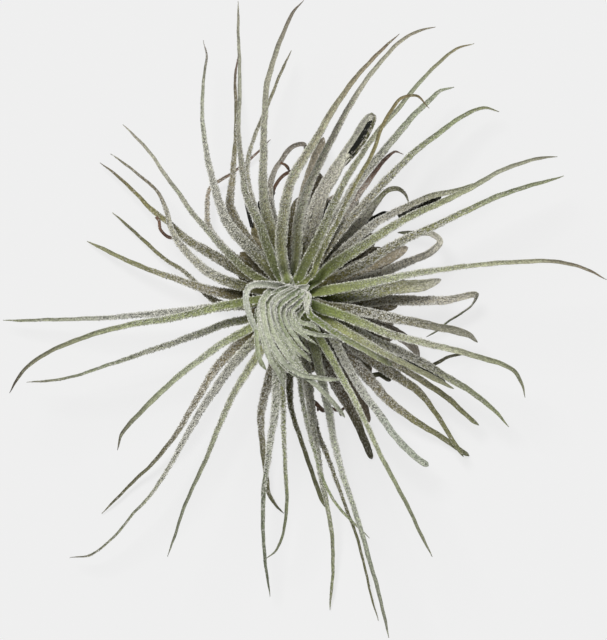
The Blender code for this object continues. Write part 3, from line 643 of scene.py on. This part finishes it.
INNER = {"slot": "inner_leaf", "channel": 0.42, "ridge": 0.010,
         "slender": (0.97, 0.92, 0.87, 0.9, 1.04, 1.3), "cast": (1.47, 1.35, 1.50),
         "foot": (0.88, 0.86, 0.41), "ending": (0.97, 1.0, 1.0), "dull": 0.22, "margin": 0.3,
         "bare": (8, 22), "smooth_end": 0.8, "scales": 1.0, "grain": 0.38, "pale": 0.75,
         "fringed": 0.7, "fringe": 1.3, "fringe_pale": 0.85}
green_tissue = tissue_material("green_leaf_tissue", roughness=0.8, sheen=0.25, felt=0.55,
                               felt_colour="#bcc3a4",
                               relief=0.10, between_grain_shade=0.4)

INNER_LOOKS = (
    ("#6e8040", "#8a9468", "#a0a486", "#9c9e84", "#86826a", 0.6),
    ("#6a8038", "#8c9c58", "#8e9a62", "#7a7e58", "#4a4030", 0.45),
    ("#70843c", "#8e9e62", "#9aa67c", "#868e66", "#4e4634", 0.45),
    ("#667a3a", "#848c62", "#808660", "#72785a", "#686e54", 0.5),
    ("#68803e", "#949c82", "#9ca48f", "#868e72", "#74785e", 0.85),
    ("#5e7034", "#868a58", "#969a7a", "#989a7e", "#8a8a70", "#6a604c", 0.55),
    ("#6e8238", "#87965a", "#939c6c", "#92986e", "#8c8c6a", "#7a6a50", 0.5),
    ("#6a7e36", "#86905c", "#8a8e62", "#7c7e58", 0.5),
    ("#5c7030", "#8a9064", "#a4a488", "#acac90", "#9a9c7e", "#7c7256", 0.65),
    ("#6e8638", "#90a062", "#8e986a", "#7e865e", "#727656", 0.45),
    ("#5e7834", "#76843e", "#7e8650", "#88905e", "#8e9274", "#7e7e60", 0.45),
    ("#5c7634", "#768846", "#868e5e", "#989c7a", "#868c62", "#7a7e58", 0.5),
    ("#5e7434", "#7e8858", "#929278", "#92967a", "#84826a", 0.55),
    ("#5c7030", "#768048", "#7e8250", "#8a8e6c", "#868e6a", "#7c7044", 0.45),
    ("#627a32", "#868c54", "#98986a", "#969670", "#88825e", "#6e5e46", 0.5),
    ("#6e8030", "#7e863a", "#7c7c3e", "#7a7440", "#76683c", 0.25),
)

WHITE_EDGED = dict(INNER, margin=1.0, margin_fall=2.5, fringe=2.0)
WHITE_EDGED_LEAVES = (9, 15)

INNER_BREADTH = {1: 0.85, 6: 1.2, 7: 0.84, 9: 0.88, 12: 0.76, 13: 1.08, 14: 0.82, 16: 0.92}

for index, look in enumerate(INNER_LOOKS):
    age = WHITE_EDGED if index + 1 in WHITE_EDGED_LEAVES else INNER
    breadth = INNER_BREADTH.get(index + 1, 1.0)
    make_leaf(f"inner_leaf_{index + 1:02d}", look, age, green_tissue, 300 + index, breadth)

# ---------------------------------------------------------------------------------------------------------
# Old leaf bases: short broad stubs round the stem's foot, left where the oldest leaves have broken off.  They
# lie under all the others, so that only shaded bits of them show between the leaves.

UNTINTED = (1.0, 1.0, 1.0)
# Its foot tint is painted shade, as on the leaves.
OLD_BASE = dict(OUTER, channel=0.12, slender=(1.0, 1.0), cast=(1.2, 1.15, 0.98), foot=(0.75, 0.73, 0.42),
                ending=UNTINTED, smooth_end=0.0, fringe=0.4)
OLD_BASE_LOOKS = (
    ("#4a4630", "#6c6652", "#8c8478", 0.6),
    ("#4a4832", "#746e5e", "#a09a92", 0.9),
    ("#444428", "#626048", "#807a68", 0.45),
)
BASE_KNOTS = 7
BASE_FOOT = 4.4
BASE_OUTLINE = (0.55, 0.8, 0.95, 1.0, 0.95, 0.8, 0.55)
# Azimuth in degrees, radius reached and width
OLD_BASES = (
    (141, 17, 6.0), (128, 19, 6.5), (116, 21, 6.0), (106, 24, 5.6), (95, 20, 5.6), (85, 25, 6.0),
    (76, 32, 6.5),
    (66, 28, 6.5), (56, 31, 6.0), (46, 29, 6.5), (36, 27, 6.0), (27, 26, 6.0), (17, 27, 6.5), (7, 29, 7.0),
    (356, 27, 7.0), (346, 27, 7.0), (336, 28, 7.0), (326, 28, 7.0), (316, 28, 7.0), (306, 27, 7.0),
    (296, 24, 6.5), (286, 20, 6.5), (275, 17, 6.0), (262, 16, 6.0), (248, 15, 5.5), (232, 15, 5.5),
    (217, 13, 5.5),
    (200, 12, 5.5), (184, 12, 5.5), (170, 14, 6.0), (156, 15, 6.0),
)
for index, (azimuth, reach, width) in enumerate(OLD_BASES):
    random = np.random.default_rng(600 + index)
    turn = math.radians(azimuth)
    radii = np.linspace(BASE_FOOT, reach, BASE_KNOTS)
    arch = np.sin(np.linspace(0, 2.6, BASE_KNOTS))
    heights = 1.3 + 1.9 * arch * (0.8 + 0.6 * random.random()) + (index % 2) * 0.8
    bend = turn + 0.06 * (random.random() - 0.5) * np.linspace(0, 1, BASE_KNOTS) ** 2
    line = np.column_stack((radii * np.cos(bend), radii * np.sin(bend), heights))
    across = np.column_stack((-np.sin(bend), np.cos(bend), np.zeros(BASE_KNOTS)))
    widths = width * np.array(BASE_OUTLINE) + FUZZ
    look = OLD_BASE_LOOKS[index % len(OLD_BASE_LOOKS)]
    parts = leaf_parts(line, across, widths, look, OLD_BASE, random, 600 + index)
    item = leaf_object(f"old_leaf_base_{index + 1:02d}", parts, dry_tissue)
    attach(item, "root")

# ---------------------------------------------------------------------------------------------------------
# Dried bits: shrivelled threads, twigs and broken tips of old leaves, caught low between the others, with
# the turned-over end of the folded leaf.  Among them lie near-black and dark olive strips that are painted
# shade: inside the fold, in gaps between leaves and on the backs of bent ones.  They are thin and have few
# scales.

DRY_AND_SHADE = {"slot": "outer_leaf", "channel": 0.2, "ridge": 0.05, "slender": (1.0, 1.0),
         "cast": (0.7, 0.7, 0.65), "foot": UNTINTED, "ending": UNTINTED, "dull": 0.0, "margin": 0.0,
         "bare": (0, 1), "smooth_end": 0.0, "scales": 0.25, "grain": 0.3, "pale": 0.4,
         "fringed": 1.0, "fringe": 0.0, "fringe_pale": 0.5}
BROKEN_TAPER = 1.2
BROWN_THREAD = ("#7c5f4e", "#8a6c5a", "#765a4a", 0.1)
DARK_THREAD = ("#54523a", "#5f5d44", "#55523a", 0.1)
# Painted shade: near-black strips inside the fold and in gaps between leaves, dark olive shaded leaf backs
PAINTED_SHADOW_STRIP = ("#1c1e15", "#20231a", "#1c1e15", 0.0)
LEAF_BACK_PAINTED_SHADE = ("#3a3b2c", "#2c2d22", "#3f4030", 0.1)
FOLD_EDGE = ("#8e8e7c", "#80805c", "#74744c", "#77775a", "#55573a", 0.5)
GREY_TWIG = ("#6f6a60", "#7a756a", "#6f6a60", 0.2)
# Azimuth in degrees, radius and height of each point, then width and colours
DRY_AND_SHADE_STRIPS = (
    (((102, 23.5, 9), (100, 26.3, 10), (98.2, 28, 11), (94, 30.3, 11), (90.5, 31.3, 10), (87, 31.8, 9)), 0.8,
     BROWN_THREAD),
    (((94.5, 33.7, 11), (92.4, 33, 11.4), (90.8, 31.6, 10.4)), 0.7, BROWN_THREAD),
    (((149.6, 39.4, 9), (150.4, 38.2, 10), (152.6, 37.2, 11), (153.8, 35.8, 10), (154.2, 34, 8.4),
      (151.6, 31.8, 8.2)),
     0.8, BROWN_THREAD),
    (((341.4, 45.4, 8), (340.2, 43.9, 9), (338.6, 42.2, 11), (336, 40.7, 13.2),
      (332.6, 38.7, 15.3)), 0.8, DARK_THREAD),
    (((280.8, 26.6, 10), (283, 27.7, 9.2), (284.2, 28.8, 8.2), (286.2, 30.4, 6.6)), 1.1, BROWN_THREAD),
    (((284, 28.6, 8.3), (283, 29.8, 7.8)), 0.9, BROWN_THREAD),
    (((289.6, 29.8, 6), (291, 30.6, 7), (293.5, 31.4, 7), (296.1, 31.1, 7.4)), 0.8, BROWN_THREAD),
    (((293, 31.4, 7), (292.6, 32.8, 7)), 0.8, BROWN_THREAD),
    (((315.6, 28.6, 7.8), (318.6, 29.8, 7.2), (319.2, 31.4, 7), (319.8, 33, 6)), 1.3, DARK_THREAD),
    (((67.2, 38.6, 15.4), (66.4, 42.0, 15.6), (65.7, 45.2, 15.6), (65.3, 48.6, 15.3)), 1.6, PAINTED_SHADOW_STRIP),
    (((66.4, 49.9, 14.8), (65.0, 49.7, 15.6), (64.5, 47.4, 16.0), (64.5, 44.9, 16.0), (64.9, 42.2, 15.8),
      (65.8, 39.4, 15.6), (67.0, 37.2, 15.0), (68.3, 35.2, 13.8)), 0.9, FOLD_EDGE),
    (((36.0, 33.6, 8), (34.8, 39, 8.6), (33.8, 45.6, 9)), 2.7, LEAF_BACK_PAINTED_SHADE),
    (((330.6, 30.5, 15), (330.9, 36, 15), (331.0, 40, 14.8), (330.8, 44.5, 14.2)), 1.5, LEAF_BACK_PAINTED_SHADE),
    (((45.2, 24.4, 4.7), (43.2, 28.6, 5.2), (41.2, 32.4, 5.2)), 1.4, PAINTED_SHADOW_STRIP),
    (((67.9, 20.8, 5.2), (67.3, 24, 5.8), (66.8, 26.6, 5.2)), 1.5, PAINTED_SHADOW_STRIP),
    (((110.8, 20.6, 5.1), (109.6, 23.4, 5.6), (108.8, 25.4, 5.2)), 0.9, PAINTED_SHADOW_STRIP),
    (((119.6, 20.1, 3.4), (116.4, 24.8, 4.6), (115.2, 27, 4.2)), 0.9, PAINTED_SHADOW_STRIP),
    (((102.0, 25.2, 10.2), (98.6, 26.4, 10.4)), 0.5, GREY_TWIG),
    (((103.6, 23.8, 10.6), (99.8, 24.4, 10.4)), 0.5, GREY_TWIG),
)


def from_polar(points):
    """Places in millimetres from azimuths, radii and heights."""
    turn, radius, height = np.array(points, float).T
    turn = np.radians(turn)
    return np.column_stack((radius * np.cos(turn), radius * np.sin(turn), height))


def level_sides(line):
    """Sideways directions across a line, level with the ground."""
    forward = unit(np.gradient(line, axis=0))
    return unit(np.column_stack((-forward[:, 1], forward[:, 0], np.zeros(len(line)))))


for index, (points, width, look) in enumerate(DRY_AND_SHADE_STRIPS):
    line = from_polar(points)
    random = np.random.default_rng(500 + index)
    widths = np.linspace(width, 0.7 * width, len(line)) + FUZZ
    parts = leaf_parts(line, level_sides(line), widths, look, DRY_AND_SHADE, random, 500 + index, BROKEN_TAPER)
    item = leaf_object(f"dried_and_shade_bit_{index + 1:02d}", parts, dry_tissue)
    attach(item, "root")

# ---------------------------------------------------------------------------------------------------------
# The heart: fine young leaves that rise from the stem's top in one bundle, sweep over to the left and droop
# forwards.  Each is a narrow green channel between thickly felted white edges.

# Its foot tint is painted shade where the bundle rises from deep in the rosette.
HEART = {"slot": "heart_leaf", "channel": 0.55, "ridge": 0.0, "slender": (1.0, 1.0),
         "cast": (0.91, 0.91, 0.80), "foot": (0.55, 0.60, 0.38), "ending": (0.93, 0.93, 0.97),
         "dull": 0.0, "margin": 1.0, "bare": (6, 12), "smooth_end": 0.2, "scales": 0.6, "grain": 0.24,
         "pale": 0.8, "fringed": 1.0, "fringe": 1.5, "fringe_pale": 0.95}
young_tissue = tissue_material("young_leaf_tissue", roughness=0.8, sheen=0.3, felt=0.62,
                               felt_colour="#b6b9a6",
                               relief=0.08, between_grain_shade=0.75)
HEART_LOOKS = (
    ("#6c7e36", "#8a9c5c", "#b0b6a2", "#b2b7a8", "#a3a894", 0.75),
    ("#66782f", "#7e9450", "#98a47c", "#a4ac90", "#9ca286", 0.5),
    ("#748640", "#98a676", "#bcc1b2", "#bfc3b6", "#acb1a0", 0.9),
)
HEART_KNOTS = 12

# Lines of the leaves that lead the bundle, with their widths at foot and tip
LEADERS = (
    (((-0.8, 0.8, 19), (-2.8, 1.2, 27), (-6.6, -0.6, 34), (-8.2, -4.0, 39), (-8.4, -8.5, 43),
      (-8.2, -13.0, 45.5),
      (-7.6, -16.0, 46), (-6.2, -18.4, 45)), 1.7, 0.8),
    (((-0.6, 0.4, 19), (-2.4, 0.8, 27), (-6.0, -1.0, 35), (-7.3, -4.6, 40.5), (-7.0, -9.0, 44.5),
      (-6.0, -13.5, 47), (-4.2, -17.5, 48), (-2.4, -20.3, 47), (-1.4, -22.6, 45.5)), 1.7, 0.8),
    (((-0.5, 1.5, 19), (-1.8, 2.0, 27), (-5.2, 0.9, 36), (-7.0, -1.5, 42), (-6.9, -5.0, 46.5),
      (-5.8, -9.0, 49.5),
      (-4.0, -13.0, 51), (-1.5, -16.6, 51.5), (1.5, -19.0, 51), (5.5, -20.2, 50),
      (12.2, -20.7, 48)), 2.2, 0.7),
    (((0.0, 1.2, 19), (-0.4, 1.8, 27), (-4.4, 0.2, 35.5), (-6.0, -2.2, 41), (-5.6, -5.4, 45.5),
      (-4.2, -9.2, 48.5),
      (-2.0, -13.0, 50), (0.8, -16.8, 50.5), (3.6, -20.2, 50), (8.0, -23.6, 48.5),
      (13.4, -30.1, 44.5)), 2.1, 0.7),
    (((0.4, 1.0, 19), (0.8, 1.6, 27), (-2.6, -0.1, 34.5), (-4.6, -2.6, 40), (-4.2, -5.8, 44),
      (-2.8, -9.4, 46.5),
      (-0.6, -13.0, 48), (1.8, -16.4, 48), (3.4, -20.6, 47)), 1.9, 0.7),
    (((0.8, 0.8, 19), (1.8, 1.2, 26.5), (-1.2, -0.8, 33.5), (-3.2, -3.2, 38.5), (-2.8, -6.2, 42.5),
      (-1.2, -9.4, 45), (1.0, -12.4, 46), (3.2, -14.6, 46), (5.0, -16.4, 45)), 1.8, 0.7),
    (((1.2, 0.4, 19), (2.8, 0.8, 26), (0.2, -1.4, 32), (-1.8, -3.6, 36.5), (-1.2, -6.4, 40.5),
      (0.4, -9.4, 43),
      (2.4, -12.0, 44), (4.8, -14.4, 44)), 1.7, 0.6),
    (((1.5, 0.0, 19), (3.6, 0.3, 25.5), (1.4, -2.2, 31), (-0.2, -4.4, 35), (0.9, -6.6, 38.5), (3.1, -8.8, 41),
      (6.5, -9.6, 41.5), (9.2, -9.8, 40.5), (11.9, -10.5, 39)), 1.5, 0.6),
    (((1.6, -0.3, 19), (4.2, -0.2, 25), (2.4, -2.6, 29.5), (0.7, -4.4, 32.5), (1.4, -5.7, 35.5),
      (3.6, -6.9, 38),
      (6.2, -7.7, 38.5), (7.2, -8.8, 38)), 1.5, 0.7),
    (((1.8, -0.8, 19), (4.4, -1.2, 24.5), (3.2, -3.4, 28.6), (1.8, -5.4, 32), (1.9, -8.0, 35.5),
      (2.7, -10.4, 37.5),
      (3.4, -11.5, 37.5)), 1.4, 0.4),
)
FOLLOWERS = (0.26, 0.5, 0.76)
LAST_FOLLOWED = 7


def even_line(points):
    """The same line with evenly spaced knots, so that two lines can be blended."""
    points = np.array(points, float)
    knots = distances(points)
    return smooth_line(knots, points, np.linspace(0, knots[-1], HEART_KNOTS))


def heart_leaf(name, line, foot, tip, look, seed, age=HEART):
    """One young leaf along a line.  foot and tip are its widths there."""
    random = np.random.default_rng(seed)
    width = foot + (tip - foot) * np.linspace(0, 1, len(line)) ** 0.8 + FUZZ
    parts = leaf_parts(line, level_sides(line), width, look, age, random, seed)
    item = leaf_object(name, parts, young_tissue)
    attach(item, "root")
    return item


# Between two leaders lie thinner leaves, which stray from them towards their tips and often end sooner
heart_random = np.random.default_rng(9)
strands = []
for index, (points, foot, tip) in enumerate(LEADERS):
    line = even_line(points)
    strands.append((line, foot, tip))
    if index < LAST_FOLLOWED:
        following = even_line(LEADERS[index + 1][0])
        for share in FOLLOWERS:
            blend = line * (1 - share) + following * share
            ease = np.linspace(0, 1, HEART_KNOTS)[:, None]
            sway = np.sin(math.pi * ease * (1 + heart_random.random()) + 6 * heart_random.random(3))
            blend = blend + ease * (2.6 * heart_random.random(3) - 1.3) + 0.5 * ease * sway - (0, 0, 0.5)
            reach = 0.65 + 0.35 * heart_random.random()
            blend = even_line(blend[:max(6, round(reach * HEART_KNOTS))])
            strands.append((blend, foot * (0.55 + 0.35 * heart_random.random()), 0.5))
for index, (line, foot, tip) in enumerate(strands):
    look = HEART_LOOKS[heart_random.integers(len(HEART_LOOKS))]
    item = heart_leaf(f"heart_young_leaf_{index + 1:02d}", line, foot, tip, look, 400 + index)
    if index == 0:
        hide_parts("heart_tuft")

# One young leaf, further out than the rest, loops over by itself, its felted back outwards
LOOP = even_line(((-0.6, 1.2, 19), (-1.6, 2.2, 27), (-4.2, 2.7, 34), (-7.4, 2.8, 39), (-10.2, 2.3, 42),
                  (-11.3, 0.3, 43.5), (-10.6, -3.0, 44), (-9.6, -6.6, 43.5), (-8.2, -9.6, 42.5),
                  (-6.8, -12.0, 41)))
# Its foot tint is painted shade too, lighter than the bundle's.
FELTED = dict(HEART, cast=(1.1, 1.1, 1.08), foot=(0.8, 0.8, 0.75), bare=(-1, 2), fringe=2.5, scales=1.0)
LOOP_LOOK = ("#8a9858", "#b0b6a0", "#c2c5b8", "#a9ae9a", 1.0)
loop_leaf = heart_leaf("heart_loop_leaf", LOOP, 1.7, 1.0, LOOP_LOOK, 399, FELTED)
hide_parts("heart_leaf_01")

# Short broad sheaths that clasp the bundle's foot, so felted that they look white from above
SHEATHS = (
    (((0.2, 0.8, 18), (0.4, 2.2, 23), (0.5, 3.2, 26.5)), 4.2),
    (((1.4, 0.8, 18), (3.2, 1.9, 23), (4.6, 2.7, 26)), 2.8),
    (((1.5, -0.6, 18), (3.6, -1.5, 22), (5.2, -2.2, 25)), 3.4),
    (((3.4, 0.4, 24), (4.3, -0.5, 28), (4.1, -1.8, 30.4), (4.0, -3.4, 31.2), (4.6, -4.8, 31)), 1.5),
)
for index, (points, width) in enumerate(SHEATHS):
    heart_leaf(f"heart_sheath_{index + 1:02d}", even_line(points), width, width,
               ("#c6c8ba", "#dcdcd4", "#dedfd8", 1.0), 470 + index, FELTED)

# One that leaves the bundle on the right, bends over and runs down between the inner leaves
SIDE_LEAF = even_line(((3.2, 0.2, 23), (4.2, -0.7, 28), (4.0, -2.2, 30.3), (4.5, -4.2, 30.8),
                       (7.6, -6.8, 29.4),
                       (14.4, -11.2, 25), (20.6, -14.8, 20.6), (25.4, -17.4, 17.5)))
heart_leaf("heart_side_leaf", SIDE_LEAF, 1.9, 1.0, ("#8c9c50", "#a0ac6e", "#a8b07e", "#a4a884", 0.5), 480)

# ---------------------------------------------------------------------------------------------------------
# Stem: a short woody stump, cut flat below, under the brown fibrous bases of leaves that have dropped.  The
# bases overlap upwards in a spiral, like slates.

SLATE_HEIGHT = 1.7
SLATES_AROUND = 5
SLATE_LIP = 0.45
STEM_TOP = 21.0
stem_random = np.random.default_rng(5)

turns = np.linspace(0, 2 * math.pi, 96, endpoint=False)
levels = np.concatenate(([0.0], np.arange(0.1, STEM_TOP, 0.22), [STEM_TOP]))
turn_grid, level_grid = np.meshgrid(turns, levels)
spiral = level_grid / SLATE_HEIGHT + SLATES_AROUND * turn_grid / (2 * math.pi)
lip = SLATE_LIP * (spiral % 1.0) ** 1.5
fibres = sum(0.05 * np.sin(count * turn_grid + drift) for count, drift in
             zip((23, 37, 61), stem_random.random(3) * 6))
radius = bark_radius(level_grid) - 0.35 + lip + fibres
stem_points = np.stack((radius * np.cos(turn_grid), radius * np.sin(turn_grid), level_grid), axis=2)
stem_points = stem_points.reshape(-1, 3)
grid = np.arange(len(stem_points)).reshape(level_grid.shape)
stem_faces = np.stack((grid[:-1], np.roll(grid[:-1], -1, 1), np.roll(grid[1:], -1, 1), grid[1:]), axis=2)
stem_mesh = bpy.data.meshes.new("stem_bark_body")
stem_mesh.from_pydata((stem_points * MM).tolist(), [],
                      stem_faces.reshape(-1, 4).tolist() + [grid[0][::-1].tolist(), grid[-1].tolist()])
stem_mesh.polygons.foreach_set("use_smooth", [True] * (len(stem_mesh.polygons) - 2) + [False] * 2)
stem_body = bpy.data.objects.new("stem_bark_body", stem_mesh)
bpy.context.scene.collection.objects.link(stem_body)

FIBRE = 0.35
bark = bpy.data.materials.new("dry_fibrous_bark")
bark.use_nodes = True
bark_tree = bark.node_tree
bark_shader = bark_tree.nodes["Principled BSDF"]
bark_shader.inputs["Roughness"].default_value = 0.92
bark_shader.inputs["Specular IOR Level"].default_value = 0.2
bark_spot = add(bark_tree, "ShaderNodeTexCoord")
along_fibres = add(bark_tree, "ShaderNodeVectorMath", {1: (1.0, 1.0, 0.12)}, {0: bark_spot.outputs["Object"]},
                   operation="MULTIPLY")
fibre_noise = add(bark_tree, "ShaderNodeTexNoise", {"Scale": 1 / (FIBRE * MM), "Detail": 3.0},
                  {"Vector": along_fibres.outputs["Vector"]})
bark_colours = add(bark_tree, "ShaderNodeValToRGB", links={"Fac": fibre_noise.outputs["Fac"]})
bark_colours.color_ramp.elements[0].position = 0.3
bark_colours.color_ramp.elements[0].color = (*linear("#3a2c22"), 1)
bark_colours.color_ramp.elements[1].position = 0.7
bark_colours.color_ramp.elements[1].color = (*linear("#8b7660"), 1)
bark_bump = add(bark_tree, "ShaderNodeBump", {"Strength": 0.7, "Distance": 0.2 * MM},
                {"Height": fibre_noise.outputs["Fac"]})
bark_height = add(bark_tree, "ShaderNodeSeparateXYZ", {}, {"Vector": bark_spot.outputs["Object"]})
bark_living = add(bark_tree, "ShaderNodeMapRange",
                  {"From Min": 5 * MM, "From Max": 12 * MM, "To Min": 0.0, "To Max": 0.85},
                  {"Value": bark_height.outputs["Z"]})
bark_mixed = add(bark_tree, "ShaderNodeMix", {"B": (*linear("#77794f"), 1)},
                 {"Factor": bark_living.outputs["Result"], "A": bark_colours.outputs["Color"]}, data_type="RGBA")
bark_tree.links.new(bark_mixed.outputs["Result"], bark_shader.inputs["Base Color"])
bark_tree.links.new(bark_bump.outputs["Normal"], bark_shader.inputs["Normal"])
stem_mesh.materials.append(bark)
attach(stem_body, "root")
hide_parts("stem")

# ---------------------------------------------------------------------------------------------------------
# Stage: a pale floor under the stem's cut base, a large soft light from behind and above, light from all
# round, and a long lens straight above.

floor_mesh = bpy.data.meshes.new("floor")
half = 3.0
floor_mesh.from_pydata([(-half, -half, 0), (half, -half, 0), (half, half, 0), (-half, half, 0)], [],
                       [(0, 1, 2, 3)])
floor = bpy.data.objects.new("floor", floor_mesh)
floor.location.z = -0.0002
bpy.context.scene.collection.objects.link(floor)
paper = bpy.data.materials.new("pale_backdrop_paper")
paper.use_nodes = True
paper_shader = paper.node_tree.nodes["Principled BSDF"]
paper_shader.inputs["Base Color"].default_value = (0.12, 0.12, 0.12, 1)
paper_shader.inputs["Emission Color"].default_value = (1.0, 1.0, 1.0, 1)
paper_shader.inputs["Emission Strength"].default_value = 0.741
paper_shader.inputs["Roughness"].default_value = 1.0
paper_shader.inputs["Specular IOR Level"].default_value = 0.0
floor_mesh.materials.append(paper)

world = bpy.data.worlds.new("soft_studio")
world.use_nodes = True
world.node_tree.nodes["Background"].inputs["Color"].default_value = (1.0, 1.0, 1.0, 1)
world.node_tree.nodes["Background"].inputs["Strength"].default_value = 0.25
bpy.context.scene.world = world

lamp = bpy.data.lights.new("soft_key", "SUN")
lamp.energy = 2.95
lamp.angle = math.radians(22)
key = bpy.data.objects.new("soft_key", lamp)
key.location = (-0.5, 0.8, 1.4)
key.rotation_euler = (Vector((0, 0, 0)) - key.location).to_track_quat("-Z", "Y").to_euler()
bpy.context.scene.collection.objects.link(key)

lens = bpy.data.cameras.new("long_lens")
lens.sensor_fit = "VERTICAL"
lens.sensor_height = 24.0
# In metres, the camera's height over the plant's middle and the height of what it takes in there
distance, view_height = 2.0, 0.160
lens.lens = 24.0 * distance / view_height
lens.clip_end = 100.0
camera = bpy.data.objects.new("long_lens", lens)
camera.location = (0.003125, -0.006, 0.025 + distance)
bpy.context.scene.collection.objects.link(camera)
bpy.context.scene.camera = camera
bpy.context.scene.view_settings.view_transform = "Standard"
